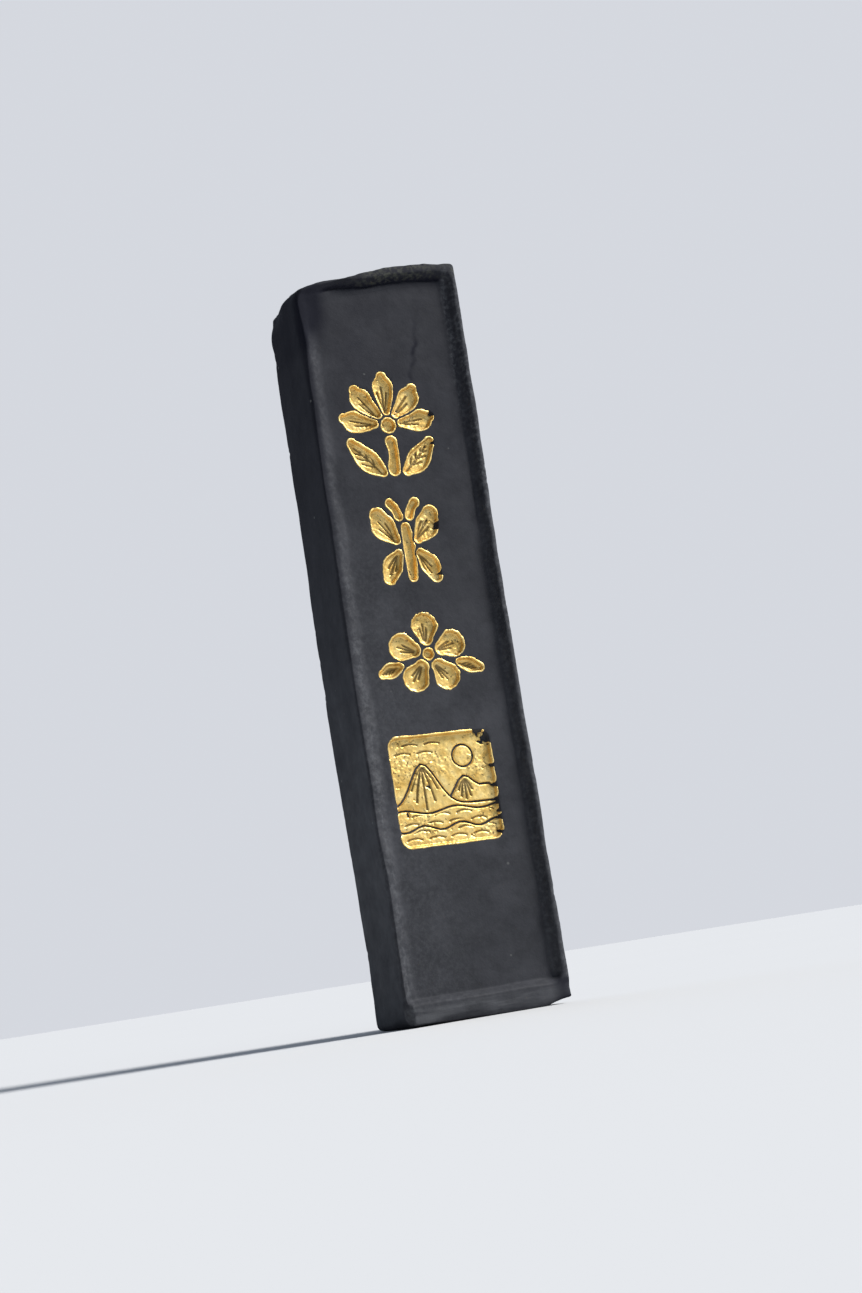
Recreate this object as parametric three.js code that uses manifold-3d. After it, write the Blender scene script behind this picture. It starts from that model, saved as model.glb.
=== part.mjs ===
// A moulded ink stick with gilded pictures, standing on its grinding end.
// Millimetres, +Z up, front face towards -Y, origin at the middle of the bottom end.
//
// The cake of ink is one body with a sunk field on the front and another on the back. The front
// field holds a lotus, a butterfly, a plum blossom and a square landscape seal. Every shape in
// them is a pit in the ink, with its own deposit of gold on the pit's floor.

import * as THREE from 'three';
import { mergeVertices } from 'three/addons/utils/BufferGeometryUtils.js';
import Module from 'manifold-3d';

// ---------------------------------------------------------------------------
// Driving dimensions
// ---------------------------------------------------------------------------

const stick = {
  length: 97,
  width: 22,
  thickness: 11,
  edge: 0.25, // rounding between the faces and the sides
  corner: 0.9, // rounding of the outline's corners
  topDip: 3.8, // how far the top end falls away to the left
  topDipPower: 2.2,
  chipWidth: 3.4, // the broken lower right corner
  chipHeight: 1.3,
};

const field = {
  depth: 0.9,
  slope: 0.7, // width of the sloped wall round it
  side: 0.75, // flat border outside the slope, on the long sides
  top: 1.2,
  bottom: 2.7,
  corner: 1.6,
};

const pit = {
  depth: 0.7, // below the field
  draft: 0.15, // how much narrower the floor is than the mouth, on each side
};

const deposit = {
  thickness: 0.3,
  chamfer: 0.08,
  sideGap: 0.12, // between the deposit and the foot of the pit's wall
};

const seal = {
  width: 13.8,
  height: 13.8,
  corner: 1.5,
  line: 0.3, // width of the dark lines between its deposits
};

// Middles of the pictures on the front, as x and height
const lotusCentre = [-1.2, 75.2];
const butterflyCentre = [-1.0, 59.4];
const blossomCentre = [-0.6, 45.2];
const sealCentre = [-1.0, 28.2];

const facePlane = -stick.thickness / 2;
const fieldPlane = facePlane + field.depth;
const pitFloor = fieldPlane + pit.depth;
const toolReach = 1; // how far a cutting tool stands out of the surface it cuts

const strokeSteps = 10; // straight pieces along each side of a stroke
const capSteps = 6; // straight pieces in the round end of a stroke
const curveSteps = 5; // straight pieces in a rounded corner

const inkLook = { color: 0x3a3c42, roughness: 0.55, metalness: 0.0 };
const goldLook = { color: 0xe1be64, roughness: 0.42, metalness: 0.75 };

// ---------------------------------------------------------------------------
// Solids
// ---------------------------------------------------------------------------

const wasm = await Module();
wasm.setup();

/** Turns a closed three.js geometry into a manifold solid. */
function toSolid(geometry) {
  const bare = geometry.clone();
  bare.deleteAttribute('normal');
  bare.deleteAttribute('uv');
  const merged = mergeVertices(bare, 1e-5);
  const mesh = new wasm.Mesh({
    numProp: 3,
    vertProperties: new Float32Array(merged.attributes.position.array),
    triVerts: new Uint32Array(merged.index.array),
  });
  return new wasm.Manifold(mesh);
}

/** Turns a manifold solid back into a three.js geometry. */
function toGeometry(solid) {
  const mesh = solid.getMesh();
  const geometry = new THREE.BufferGeometry();
  const positions = new THREE.BufferAttribute(mesh.vertProperties, mesh.numProp);
  geometry.setAttribute('position', positions);
  geometry.setIndex(new THREE.BufferAttribute(mesh.triVerts, 1));
  geometry.computeVertexNormals();
  return geometry;
}

/**
 * Extrudes an outline drawn in x and height towards the viewer of the front, which is -Y.
 * The outline's own plane comes to lie at y.
 */
function extrudeFront(outline, y, options) {
  const geometry = new THREE.ExtrudeGeometry(outline, { curveSegments: curveSteps, ...options });
  geometry.rotateX(Math.PI / 2);
  geometry.translate(0, y, 0);
  return geometry;
}

/** A cutting tool whose mouth lies at y and whose floor is smaller by the slope all round. */
function sunkTool(mouth, y, depth, slope) {
  return toSolid(
    extrudeFront(mouth, y, {
      depth: toolReach,
      bevelThickness: depth,
      bevelSize: slope,
      bevelOffset: -slope,
      bevelSegments: 1,
    }),
  );
}

/** A straight prism that runs right through the layer of gold. */
function prism(outline) {
  const options = { depth: 2 * toolReach, bevelEnabled: false };
  return toSolid(extrudeFront(outline, pitFloor + toolReach, options));
}

// ---------------------------------------------------------------------------
// The cake of ink
// ---------------------------------------------------------------------------

/** Height of the top end at x, which falls away towards the left. */
function topHeight(x) {
  const share = (stick.width / 2 - x) / stick.width;
  return stick.length - stick.topDip * share ** stick.topDipPower;
}

/** Draws the top edge of an outline from right to left, with both corners rounded. */
function drawTopEdge(shape, halfWidth, drop, corner) {
  const steps = 8;
  const start = halfWidth - corner;
  shape.quadraticCurveTo(halfWidth, topHeight(halfWidth) - drop, start, topHeight(start) - drop);
  for (let i = 1; i <= steps; i++) {
    const x = start - (2 * start * i) / steps;
    shape.lineTo(x, topHeight(x) - drop);
  }
  const height = topHeight(-halfWidth) - drop;
  shape.quadraticCurveTo(-halfWidth, height, -halfWidth, height - corner);
}

/** The outline of the whole stick seen from the front. */
function stickOutline() {
  const half = stick.width / 2;
  const shape = new THREE.Shape();
  shape.moveTo(-half + stick.corner, 0);
  shape.lineTo(half - stick.chipWidth, 0);
  shape.lineTo(half - stick.chipWidth / 3, stick.chipHeight / 2);
  shape.lineTo(half, stick.chipHeight);
  shape.lineTo(half, topHeight(half) - stick.corner);
  drawTopEdge(shape, half, 0, stick.corner);
  shape.lineTo(-half, stick.corner);
  shape.quadraticCurveTo(-half, 0, -half + stick.corner, 0);
  return shape;
}

/** The outline of a sunk field, where its slope meets the flat border. */
function fieldOutline() {
  const half = stick.width / 2 - field.side;
  const { bottom, corner } = field;
  const shape = new THREE.Shape();
  shape.moveTo(-half + corner, bottom);
  shape.lineTo(half - corner, bottom);
  shape.quadraticCurveTo(half, bottom, half, bottom + corner);
  shape.lineTo(half, topHeight(half) - field.top - corner);
  drawTopEdge(shape, half, field.top, corner);
  shape.lineTo(-half, bottom + corner);
  shape.quadraticCurveTo(-half, bottom, -half + corner, bottom);
  return shape;
}

/** The plain block of ink with rounded edges, before anything is sunk into it. */
function cakeBlank() {
  return toSolid(
    extrudeFront(stickOutline(), stick.thickness / 2 - stick.edge, {
      depth: stick.thickness - 2 * stick.edge,
      bevelThickness: stick.edge,
      bevelSize: stick.edge,
      bevelOffset: -stick.edge,
      bevelSegments: 2,
    }),
  );
}

/** The finished cake: the blank with both fields and every pit cut out of it. */
function inkCake(pitMouths) {
  const outline = fieldOutline();
  let cake = cakeBlank();
  cake = cake.subtract(sunkTool(outline, facePlane, field.depth, field.slope));
  // The tool is the same from both ends, so for the back it is only moved across.
  cake = cake.subtract(sunkTool(outline, -facePlane + toolReach, field.depth, field.slope));
  for (const mouth of pitMouths) {
    cake = cake.subtract(sunkTool(mouth, fieldPlane, pit.depth, pit.draft));
  }
  return toGeometry(cake);
}

// ---------------------------------------------------------------------------
// Outlines for the gilded shapes
// ---------------------------------------------------------------------------

/** Points of the half circle that turns anticlockwise from one point to another. */
function roundCap(from, to) {
  const middle = from.clone().add(to).multiplyScalar(0.5);
  const points = [];
  for (let i = 1; i < capSteps; i++) {
    points.push(from.clone().rotateAround(middle, (Math.PI * i) / capSteps));
  }
  return points;
}

/** The outline of a brush stroke along a smooth spine drawn round a centre, with round ends. */
function stroke(spinePoints, halfWidths, centre) {
  const spine = new THREE.SplineCurve(
    spinePoints.map(([x, y]) => new THREE.Vector2(x + centre[0], y + centre[1])),
  );
  const widths = new THREE.SplineCurve(
    halfWidths.map((halfWidth, index) => new THREE.Vector2(index, halfWidth)),
  );
  const rightSide = [];
  const leftSide = [];
  for (let i = 0; i <= strokeSteps; i++) {
    const share = i / strokeSteps;
    const point = spine.getPoint(share);
    const along = spine.getTangent(share);
    const halfWidth = widths.getPoint(share).y;
    const across = new THREE.Vector2(along.y, -along.x).multiplyScalar(halfWidth);
    rightSide.push(point.clone().add(across));
    leftSide.unshift(point.clone().sub(across));
  }
  const farCap = roundCap(rightSide.at(-1), leftSide[0]);
  const nearCap = roundCap(leftSide.at(-1), rightSide[0]);
  return new THREE.Shape([...rightSide, ...farCap, ...leftSide, ...nearCap]);
}

/** A round outline with so many straight sides. */
function disc(radius, centre, sides = 20) {
  const circle = new THREE.Shape();
  circle.absarc(...centre, radius, 0, 2 * Math.PI);
  return new THREE.Shape(circle.getSpacedPoints(sides).slice(0, sides));
}

/** The point at a distance from [0, 0], in a direction counted clockwise from straight up. */
function polar(distance, degrees) {
  const angle = THREE.MathUtils.degToRad(degrees);
  return [distance * Math.sin(angle), distance * Math.cos(angle)];
}

/** Three spine points that run outwards, the middle one turned aside by bend degrees. */
function radialSpine(from, to, degrees, bend = 0) {
  return [polar(from, degrees), polar((from + to) / 2, degrees + bend), polar(to, degrees)];
}

// ---------------------------------------------------------------------------
// The three pictures, as named outlines
// ---------------------------------------------------------------------------

/** A lotus in side view: a fan of petals on a stem between two leaves. */
function lotusShapes() {
  const petalWidths = [0.62, 0.92, 1.27, 1.35, 0.68];
  const petalStart = 2;
  const petals = [
    { angle: -80, end: 6.0, bend: -4 },
    { angle: -40, end: 6.2, bend: -4 },
    { angle: 0, end: 6.5, bend: 0 },
    { angle: 40, end: 6.2, bend: 4 },
    { angle: 80, end: 6.0, bend: 4 },
  ];
  const shapes = petals.map(({ angle, end, bend }, index) => ({
    name: `lotus_petal_${index + 1}`,
    outline: stroke(radialSpine(petalStart, end, angle, bend), petalWidths, lotusCentre),
  }));
  shapes.push({ name: 'lotus_pod', outline: disc(1.0, lotusCentre) });
  const stemSpine = [[0, -2.2], [0.15, -3.8], [-0.1, -5.9]];
  shapes.push({ name: 'lotus_stem', outline: stroke(stemSpine, [0.75, 0.65, 0.8], lotusCentre) });
  for (const [side, word] of [[-1, 'left'], [1, 'right']]) {
    const spine = [[side * 1.7, -6.1], [side * 3.4, -4.7], [side * 5.4, -2.3]];
    const outline = stroke(spine, [0.65, 1.45, 0.65], lotusCentre);
    shapes.push({ name: `lotus_leaf_${word}`, outline });
  }
  return shapes;
}

/** A butterfly with spread wings, seen from above. */
function butterflyShapes() {
  const bodySpine = [[0, 2.3], [0.1, -0.6], [0, -4.2]];
  const body = stroke(bodySpine, [0.6, 0.8, 0.6], butterflyCentre);
  const pairs = [
    { part: 'forewing', spine: [[1.55, 0.75], [2.9, 2.3], [3.6, 3.9]], widths: [0.65, 1.6, 1.1] },
    { part: 'hindwing', spine: [[1.5, -1.2], [2.5, -2.6], [3.2, -4.2]], widths: [0.65, 1.3, 0.85] },
    { part: 'feeler', spine: [[0.75, 3.75], [1.1, 4.7], [1.7, 5.5]], widths: [0.58, 0.56, 0.6] },
  ];
  const shapes = [{ name: 'butterfly_body', outline: body }];
  for (const { part, spine, widths } of pairs) {
    for (const [side, word] of [[-1, 'left'], [1, 'right']]) {
      const turned = spine.map(([x, y]) => [side * x, y]);
      const outline = stroke(turned, widths, butterflyCentre);
      shapes.push({ name: `butterfly_${part}_${word}`, outline });
    }
  }
  return shapes;
}

/** A plum blossom seen from the front, between two leaves. */
function blossomShapes() {
  const petalCount = 5;
  const petalWidths = [0.95, 1.42, 1.8];
  const leafWidths = [0.6, 0.95, 0.6];
  const shapes = [];
  for (let i = 0; i < petalCount; i++) {
    const spine = radialSpine(2.05, 3.55, (360 * i) / petalCount);
    const outline = stroke(spine, petalWidths, blossomCentre);
    shapes.push({ name: `blossom_petal_${i + 1}`, outline });
  }
  shapes.push({ name: 'blossom_eye', outline: disc(0.75, blossomCentre) });
  for (const [angle, end, word] of [[108, 7.1, 'right'], [252, 6.8, 'left']]) {
    const outline = stroke(radialSpine(4.4, end, angle), leafWidths, blossomCentre);
    shapes.push({ name: `blossom_leaf_${word}`, outline });
  }
  return shapes;
}

// ---------------------------------------------------------------------------
// The seal: one square pit whose deposits are parted by dark lines
// ---------------------------------------------------------------------------

/** The mouth of the seal's pit, a square with rounded corners. */
function sealOutline() {
  const [x, y] = sealCentre;
  const left = x - seal.width / 2;
  const right = x + seal.width / 2;
  const low = y - seal.height / 2;
  const high = y + seal.height / 2;
  const corner = seal.corner;
  const shape = new THREE.Shape();
  shape.moveTo(left + corner, low);
  shape.lineTo(right - corner, low);
  shape.quadraticCurveTo(right, low, right, low + corner);
  shape.lineTo(right, high - corner);
  shape.quadraticCurveTo(right, high, right - corner, high);
  shape.lineTo(left + corner, high);
  shape.quadraticCurveTo(left, high, left, high - corner);
  shape.lineTo(left, low + corner);
  shape.quadraticCurveTo(left, low, left + corner, low);
  return shape;
}

/** Height of a smooth hill at x. */
function hill(x, peak, height, spread) {
  return height * Math.exp(-(((x - peak) / spread) ** 2));
}

// The lines of the landscape, as heights over the seal's middle
const farRidge = (x) => -2.2 + hill(x, 2.9, 3.6, 2.1) + hill(x, 6.2, 2.0, 1.4);
const nearRidge = (x) => -2.0 + hill(x, -2.6, 5.4, 2.5);
const shore = (x) => -2.5 + 0.3 * Math.sin(0.9 * x + 0.6);
const swell = (x) => -4.6 + 0.35 * Math.sin(1.25 * x - 0.4);
const sun = { x: 3.1, y: 3.9, radius: 1.25 };

/** A prism that fills everything under a line, after the line is moved square to itself. */
function under(line, shift) {
  const steps = 24;
  const reach = 0.6 * seal.width;
  const nudge = 0.01;
  const points = [];
  for (let i = 0; i <= steps; i++) {
    const x = reach - (2 * reach * i) / steps;
    const rise = line(x + nudge) - line(x - nudge);
    const moved = new THREE.Vector2(-rise, 2 * nudge).setLength(shift);
    points.push(moved.add(new THREE.Vector2(x + sealCentre[0], line(x) + sealCentre[1])));
  }
  const floor = sealCentre[1] - seal.height;
  points.push(new THREE.Vector2(sealCentre[0] - reach, floor));
  points.push(new THREE.Vector2(sealCentre[0] + reach, floor));
  return prism(new THREE.Shape(points));
}

/** The seal's deposits: sky, sun, two mountains and two bands of water. */
function sealDeposits() {
  const half = seal.line / 2;
  const sunCentre = [sealCentre[0] + sun.x, sealCentre[1] + sun.y];
  const sunSides = 24;
  const sunDisc = prism(disc(sun.radius, sunCentre, sunSides));
  const sunHole = prism(disc(sun.radius + seal.line, sunCentre, sunSides));
  const whole = depositSolid(sealOutline());
  const land = whole.subtract(under(shore, half));
  const sky = land.subtract(under(farRidge, half)).subtract(under(nearRidge, half));
  const farMountain = land.intersect(under(farRidge, -half)).subtract(under(nearRidge, half));
  return {
    seal_sky: sky.subtract(sunHole),
    seal_sun: sky.intersect(sunDisc),
    seal_mountain_far: farMountain,
    seal_mountain_near: land.intersect(under(nearRidge, -half)),
    seal_water_far: whole.intersect(under(shore, -half)).subtract(under(swell, half)),
    seal_water_near: whole.intersect(under(swell, -half)),
  };
}

// ---------------------------------------------------------------------------
// Assembly
// ---------------------------------------------------------------------------

/** The gold that lies on the floor of a pit, clear of the pit's wall. */
function depositSolid(mouth) {
  const { thickness, chamfer, sideGap } = deposit;
  return toSolid(
    extrudeFront(mouth, pitFloor - chamfer, {
      depth: thickness - 2 * chamfer,
      bevelThickness: chamfer,
      bevelSize: chamfer,
      bevelOffset: -pit.draft - sideGap - chamfer,
      bevelSegments: 1,
    }),
  );
}

/** A named mesh with a material of its own. */
function namedMesh(name, geometry, look) {
  const mesh = new THREE.Mesh(geometry, new THREE.MeshStandardMaterial(look));
  mesh.name = name;
  return mesh;
}

const strokeShapes = [...lotusShapes(), ...butterflyShapes(), ...blossomShapes()];
const pitMouths = [...strokeShapes.map((shape) => shape.outline), sealOutline()];

const inkStick = new THREE.Group();
inkStick.name = 'ink_stick';
inkStick.add(namedMesh('ink_body', inkCake(pitMouths), inkLook));
for (const { name, outline } of strokeShapes) {
  inkStick.add(namedMesh(name, toGeometry(depositSolid(outline)), goldLook));
}
for (const [name, solid] of Object.entries(sealDeposits())) {
  inkStick.add(namedMesh(name, toGeometry(solid), goldLook));
}

export default inkStick;
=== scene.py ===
"""Looks of a gilded ink stick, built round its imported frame.

The cake of ink and each deposit of gold is a finely shaped piece that stands for its CAD node.
Shapes are worked out in millimetres, front face towards -Y, and set down in metres.
"""

import itertools
import math

import bpy
import numpy as np
from mathutils import Matrix, Vector


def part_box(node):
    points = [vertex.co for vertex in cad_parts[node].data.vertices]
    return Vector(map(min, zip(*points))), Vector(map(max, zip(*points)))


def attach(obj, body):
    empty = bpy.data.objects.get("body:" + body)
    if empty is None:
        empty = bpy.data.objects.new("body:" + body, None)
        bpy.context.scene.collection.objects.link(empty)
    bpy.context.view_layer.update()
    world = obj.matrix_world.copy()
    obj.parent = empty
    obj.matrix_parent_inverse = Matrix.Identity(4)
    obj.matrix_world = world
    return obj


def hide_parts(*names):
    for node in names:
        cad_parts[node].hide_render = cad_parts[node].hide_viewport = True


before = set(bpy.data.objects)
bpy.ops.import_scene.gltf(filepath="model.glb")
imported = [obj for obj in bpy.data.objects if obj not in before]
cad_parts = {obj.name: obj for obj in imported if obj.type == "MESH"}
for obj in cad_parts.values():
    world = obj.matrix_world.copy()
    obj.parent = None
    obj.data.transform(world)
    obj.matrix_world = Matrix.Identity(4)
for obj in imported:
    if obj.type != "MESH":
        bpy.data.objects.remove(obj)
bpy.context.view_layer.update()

MM = 0.001

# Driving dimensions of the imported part, in millimetres
cake_low, cake_high = (np.array(corner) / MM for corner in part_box("ink_body"))
HALF_WIDTH = cake_high[0]
FRONT_PLANE = cake_low[1]
BACK_PLANE = cake_high[1]
LENGTH = 97.0
TOP_DIP = 3.8
TOP_DIP_POWER = 2.2
FIELD_DEPTH = 0.9
FIELD_PLANE = FRONT_PLANE + FIELD_DEPTH
PIT_DEPTH = 0.7
FRONT_INSIDE_MOUTH = 0.35  # a deposit's flat front lies this far inside the mouth of its pit
EDGE_INSIDE_MOUTH = 0.27  # and its widest outline this far
SEAL_CORNER = 1.3  # radius of the corners of the seal's pit, at its mouth
SEAL_LINE = 0.3  # bare ink between two deposits of the seal

# How finely the pieces are shaped, in millimetres
CAKE_VOXEL = 0.15
CAKE_TRIANGLES = 180_000
GOLD_GRID = 0.08

FAR = 9.0  # stands for a distance too long to matter

# ---------------------------------------------------------------------------
# Noise and small helpers, for arrays of points in millimetres
# ---------------------------------------------------------------------------

TABLE_SIZE = 4096  # a power of two, so that a mask wraps any cell's number into the table
CELL_PRIMES = np.array([73856093, 19349663, 83492791])
SEED_PRIME = 7919
SEED_SHIFT = 17.3  # moves each seed's noise to another part of the lattice
random_table = np.random.default_rng(11).uniform(-1, 1, TABLE_SIZE)
lattice_turn = np.linalg.qr(np.random.default_rng(12).normal(size=(3, 3)))[0]


def lattice(cells, seed):
    """A random number in -1..1 for each cell of a grid, the same on every run."""
    first, second, third = (cells * CELL_PRIMES).T
    mixed = first ^ second ^ third
    return random_table[(mixed + seed * SEED_PRIME) & (TABLE_SIZE - 1)]


def noise(points, size, seed):
    """Smooth noise in -1..1 with features of about the given size."""
    scaled = points @ lattice_turn / size + seed * SEED_SHIFT
    cell = np.floor(scaled).astype(np.int64)
    part = scaled - cell
    ease = part * part * (3 - 2 * part)
    total = np.zeros(len(points))
    for corner in itertools.product((0, 1), repeat=3):
        weight = np.prod(np.where(corner, ease, 1 - ease), axis=1)
        total += weight * lattice(cell + corner, seed)
    return total


def smooth_step(value, low, high):
    """0 below low, 1 above high, and a smooth rise between them. Low may lie above high."""
    t = np.clip((value - low) / (high - low), 0, 1)
    return t * t * (3 - 2 * t)


def bell(value, middle, spread):
    """1 in the middle, falling smoothly towards 0 beyond the spread on either side."""
    return np.exp(-(((value - middle) / spread) ** 2))


def flat_points(x, z):
    """Points on the plane y = 0."""
    return np.column_stack([x, np.zeros_like(x), z])


def height_noise(z, size, seed):
    """Noise that changes with the height alone."""
    return noise(flat_points(np.zeros_like(z), z), size, seed)


def width_noise(x, size, seed):
    """Noise that changes from left to right alone."""
    return noise(flat_points(x, np.zeros_like(x)), size, seed)


def read_points(mesh):
    """The mesh's vertices as rows of x, y and z."""
    points = np.empty(len(mesh.vertices) * 3, np.float32)
    mesh.vertices.foreach_get("co", points)
    return points.reshape(-1, 3).astype(float)


def write_points(mesh, points):
    """Moves the mesh's vertices to the given rows of x, y and z."""
    mesh.vertices.foreach_set("co", points.astype(np.float32).ravel())
    mesh.update()


def read_edges(mesh):
    """The mesh's edges as pairs of vertex numbers."""
    edges = np.empty(len(mesh.edges) * 2, np.int32)
    mesh.edges.foreach_get("vertices", edges)
    return edges.reshape(-1, 2)


def read_normals(mesh):
    """The mesh's normals at its vertices, as rows of x, y and z."""
    normals = np.empty(len(mesh.vertices) * 3, np.float32)
    mesh.vertices.foreach_get("normal", normals)
    return normals.reshape(-1, 3).astype(float)


def set_attribute(mesh, name, values):
    """Stores one number for each vertex, for a material to read."""
    layer = mesh.attributes.new(name, "FLOAT", "POINT")
    layer.data.foreach_set("value", values.astype(np.float32))


def relax(points, edges, strength, rounds):
    """Moves each point towards the middle of its neighbours, by its own strength."""
    size = len(points)
    neighbours = np.bincount(edges.ravel(), minlength=size)[:, None]
    one, other = edges.T
    for _ in range(rounds):
        total = np.column_stack([
            np.bincount(one, points[other, axis], size) + np.bincount(other, points[one, axis], size)
            for axis in range(3)
        ])
        points = points + strength[:, None] * (total / neighbours - points)
    return points


def with_modifier(obj, kind, **settings):
    """A new mesh that is the object's own mesh after one modifier."""
    modifier = obj.modifiers.new(kind.lower(), kind)
    for key, value in settings.items():
        setattr(modifier, key, value)
    graph = bpy.context.evaluated_depsgraph_get()
    mesh = bpy.data.meshes.new_from_object(obj.evaluated_get(graph), depsgraph=graph)
    obj.modifiers.clear()
    return mesh


def finish_piece(name, mesh, material, node):
    """Sets a mesh made in millimetres down as a piece that stands for a CAD node."""
    mesh.transform(Matrix.Scale(MM, 4))
    mesh.polygons.foreach_set("use_smooth", np.ones(len(mesh.polygons), bool))
    mesh.materials.clear()
    mesh.materials.append(material)
    mesh.update()
    piece = bpy.data.objects.new(name, mesh)
    bpy.context.scene.collection.objects.link(piece)
    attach(piece, "root")
    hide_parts(node)


# ---------------------------------------------------------------------------
# Outlines of the deposits, read from the frame
# ---------------------------------------------------------------------------


def front_outline(node):
    """The edges round a deposit's flat front, as segments between (x, height) pairs."""
    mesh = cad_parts[node].data
    mesh.calc_loop_triangles()
    corners = np.empty(len(mesh.loop_triangles) * 3, np.int32)
    mesh.loop_triangles.foreach_get("vertices", corners)
    points = read_points(mesh) / MM
    merged, same = np.unique(np.round(points, 3), axis=0, return_inverse=True)
    triangles = same.ravel()[corners].reshape(-1, 3)
    front = merged[:, 1].min()
    triangles = triangles[np.all(merged[triangles, 1] < front + 0.01, axis=1)]
    edges = np.sort(triangles[:, [0, 1, 1, 2, 2, 0]].reshape(-1, 2), axis=1)
    edges, uses = np.unique(edges, axis=0, return_counts=True)
    return merged[edges[uses == 1]][:, :, [0, 2]]


def line_distance(x, z, segments):
    """Distance from each point to the nearest of some segments."""
    place = np.column_stack([x, z])[:, None, :]
    start = segments[None, :, 0]
    along = segments[None, :, 1] - start
    part = np.sum((place - start) * along, axis=2) / np.sum(along * along, axis=2)
    nearest = start + np.clip(part, 0, 1)[:, :, None] * along
    return np.sqrt(np.min(np.sum((place - nearest) ** 2, axis=2), axis=1))


def outline_distance(x, z, segments):
    """Distance from each point to an outline, negative inside it."""
    distance = line_distance(x, z, segments)
    place = np.column_stack([x, z])[:, None, :]
    start, end = segments[None, :, 0], segments[None, :, 1]
    along = end - start
    spans = (start[..., 1] > place[..., 1]) != (end[..., 1] > place[..., 1])
    rise = np.where(along[..., 1] == 0, 1, along[..., 1])
    crossing = start[..., 0] + (place[..., 1] - start[..., 1]) * along[..., 0] / rise
    inside = np.sum(spans & (crossing > place[..., 0]), axis=1) % 2 == 1
    return np.where(inside, -distance, distance)


gold_nodes = sorted(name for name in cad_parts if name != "ink_body")
seal_nodes = [name for name in gold_nodes if name.startswith("seal_")]
outlines = {name: front_outline(name) for name in gold_nodes}


def picture_of(node):
    """The picture that a deposit belongs to, which is the first word of its name."""
    return node.split("_")[0]


def outline_corners(node):
    """The lower left and the upper right corner of a box round a deposit's outline."""
    rim = outlines[node].reshape(-1, 2)
    return rim.min(axis=0), rim.max(axis=0)


def seal_square():
    """Middle and half size of the mouth of the seal's pit, as (x, height) pairs."""
    corners = np.array([corner for name in seal_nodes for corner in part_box(name)]) / MM
    low = corners.min(axis=0)[[0, 2]] - EDGE_INSIDE_MOUTH
    high = corners.max(axis=0)[[0, 2]] + EDGE_INSIDE_MOUTH
    return (low + high) / 2, (high - low) / 2


def inside_seal(x, z):
    """How far inside the mouth of the seal's pit each point lies."""
    middle, half = seal_square()
    reach = np.abs(np.column_stack([x, z]) - middle) - (half - SEAL_CORNER)
    outer = np.linalg.norm(np.maximum(reach, 0), axis=1)
    inner = np.minimum(reach.max(axis=1), 0)
    return SEAL_CORNER - outer - inner


def inside_mouth(node, x, z):
    """How far inside the mouth of a deposit's pit each point lies."""
    if node in seal_nodes:
        return inside_seal(x, z)
    return FRONT_INSIDE_MOUTH - outline_distance(x, z, outlines[node])


# ---------------------------------------------------------------------------
# Lines engraved in the gold
# ---------------------------------------------------------------------------

STROKE_STEPS = 8  # segments in one curved stroke


def picture_middle(picture):
    """The middle of all the deposits of one picture."""
    members = [outline_corners(name) for name in gold_nodes if picture_of(name) == picture]
    low = np.min([corners[0] for corners in members], axis=0)
    high = np.max([corners[1] for corners in members], axis=0)
    return (low + high) / 2


def bent_line(start, angle, length, bend):
    """Segments along a curved stroke that sets out from start at an angle."""
    turns = angle + bend * np.linspace(0, 1, STROKE_STEPS)
    moves = np.column_stack([np.cos(turns), np.sin(turns)]) * length / STROKE_STEPS
    points = np.concatenate([[start], start + np.cumsum(moves, axis=0)])
    return np.stack([points[:-1], points[1:]], axis=1)


def fan(root, tip, lines, spread, length):
    """Strokes that spread from a root towards a tip."""
    reach = np.linalg.norm(tip - root)
    middle = math.atan2(tip[1] - root[1], tip[0] - root[0])
    strokes = []
    for k in range(lines):
        side = k - (lines - 1) / 2
        size = reach * length * (1 - 0.2 * abs(side))
        strokes.append(bent_line(root, middle + side * spread, size, -0.5 * side * spread))
    return np.concatenate(strokes)


def leaf_ribs(root, tip):
    """A rib along a leaf with pairs of side ribs."""
    reach = np.linalg.norm(tip - root)
    middle = math.atan2(tip[1] - root[1], tip[0] - root[0])
    strokes = [bent_line(root, middle - 0.08, 0.85 * reach, 0.16)]
    for part in (0.25, 0.45, 0.65):
        start = root + part * (tip - root)
        for side in (-1, 1):
            strokes.append(bent_line(start, middle + 0.7 * side, 0.28 * reach, -0.3 * side))
    return np.concatenate(strokes)


def wave_lines(low, high, rows, swing):
    """Level strokes with breaks in them, one above another, like ripples."""
    strokes = []
    for row in range(rows):
        height = low[1] + (row + 0.7) * (high[1] - low[1]) / (rows + 0.4)
        start = low[0] + 0.6 + 1.1 * (row % 2)
        while start < high[0] - 1.5:
            strokes.append(bent_line(np.array([start, height]), swing, 2.0, -2 * swing))
            start += 3.0
    return np.concatenate(strokes)


def long_ends(node, heart):
    """The two ends of a deposit's long side, the one nearer to the heart first."""
    rim = outlines[node].reshape(-1, 2)
    along = np.linalg.svd(rim - rim.mean(axis=0))[2][0]
    place = (rim - rim.mean(axis=0)) @ along
    ends = [rim[place.argmin()], rim[place.argmax()]]
    return sorted(ends, key=lambda end: np.linalg.norm(end - heart))


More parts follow.
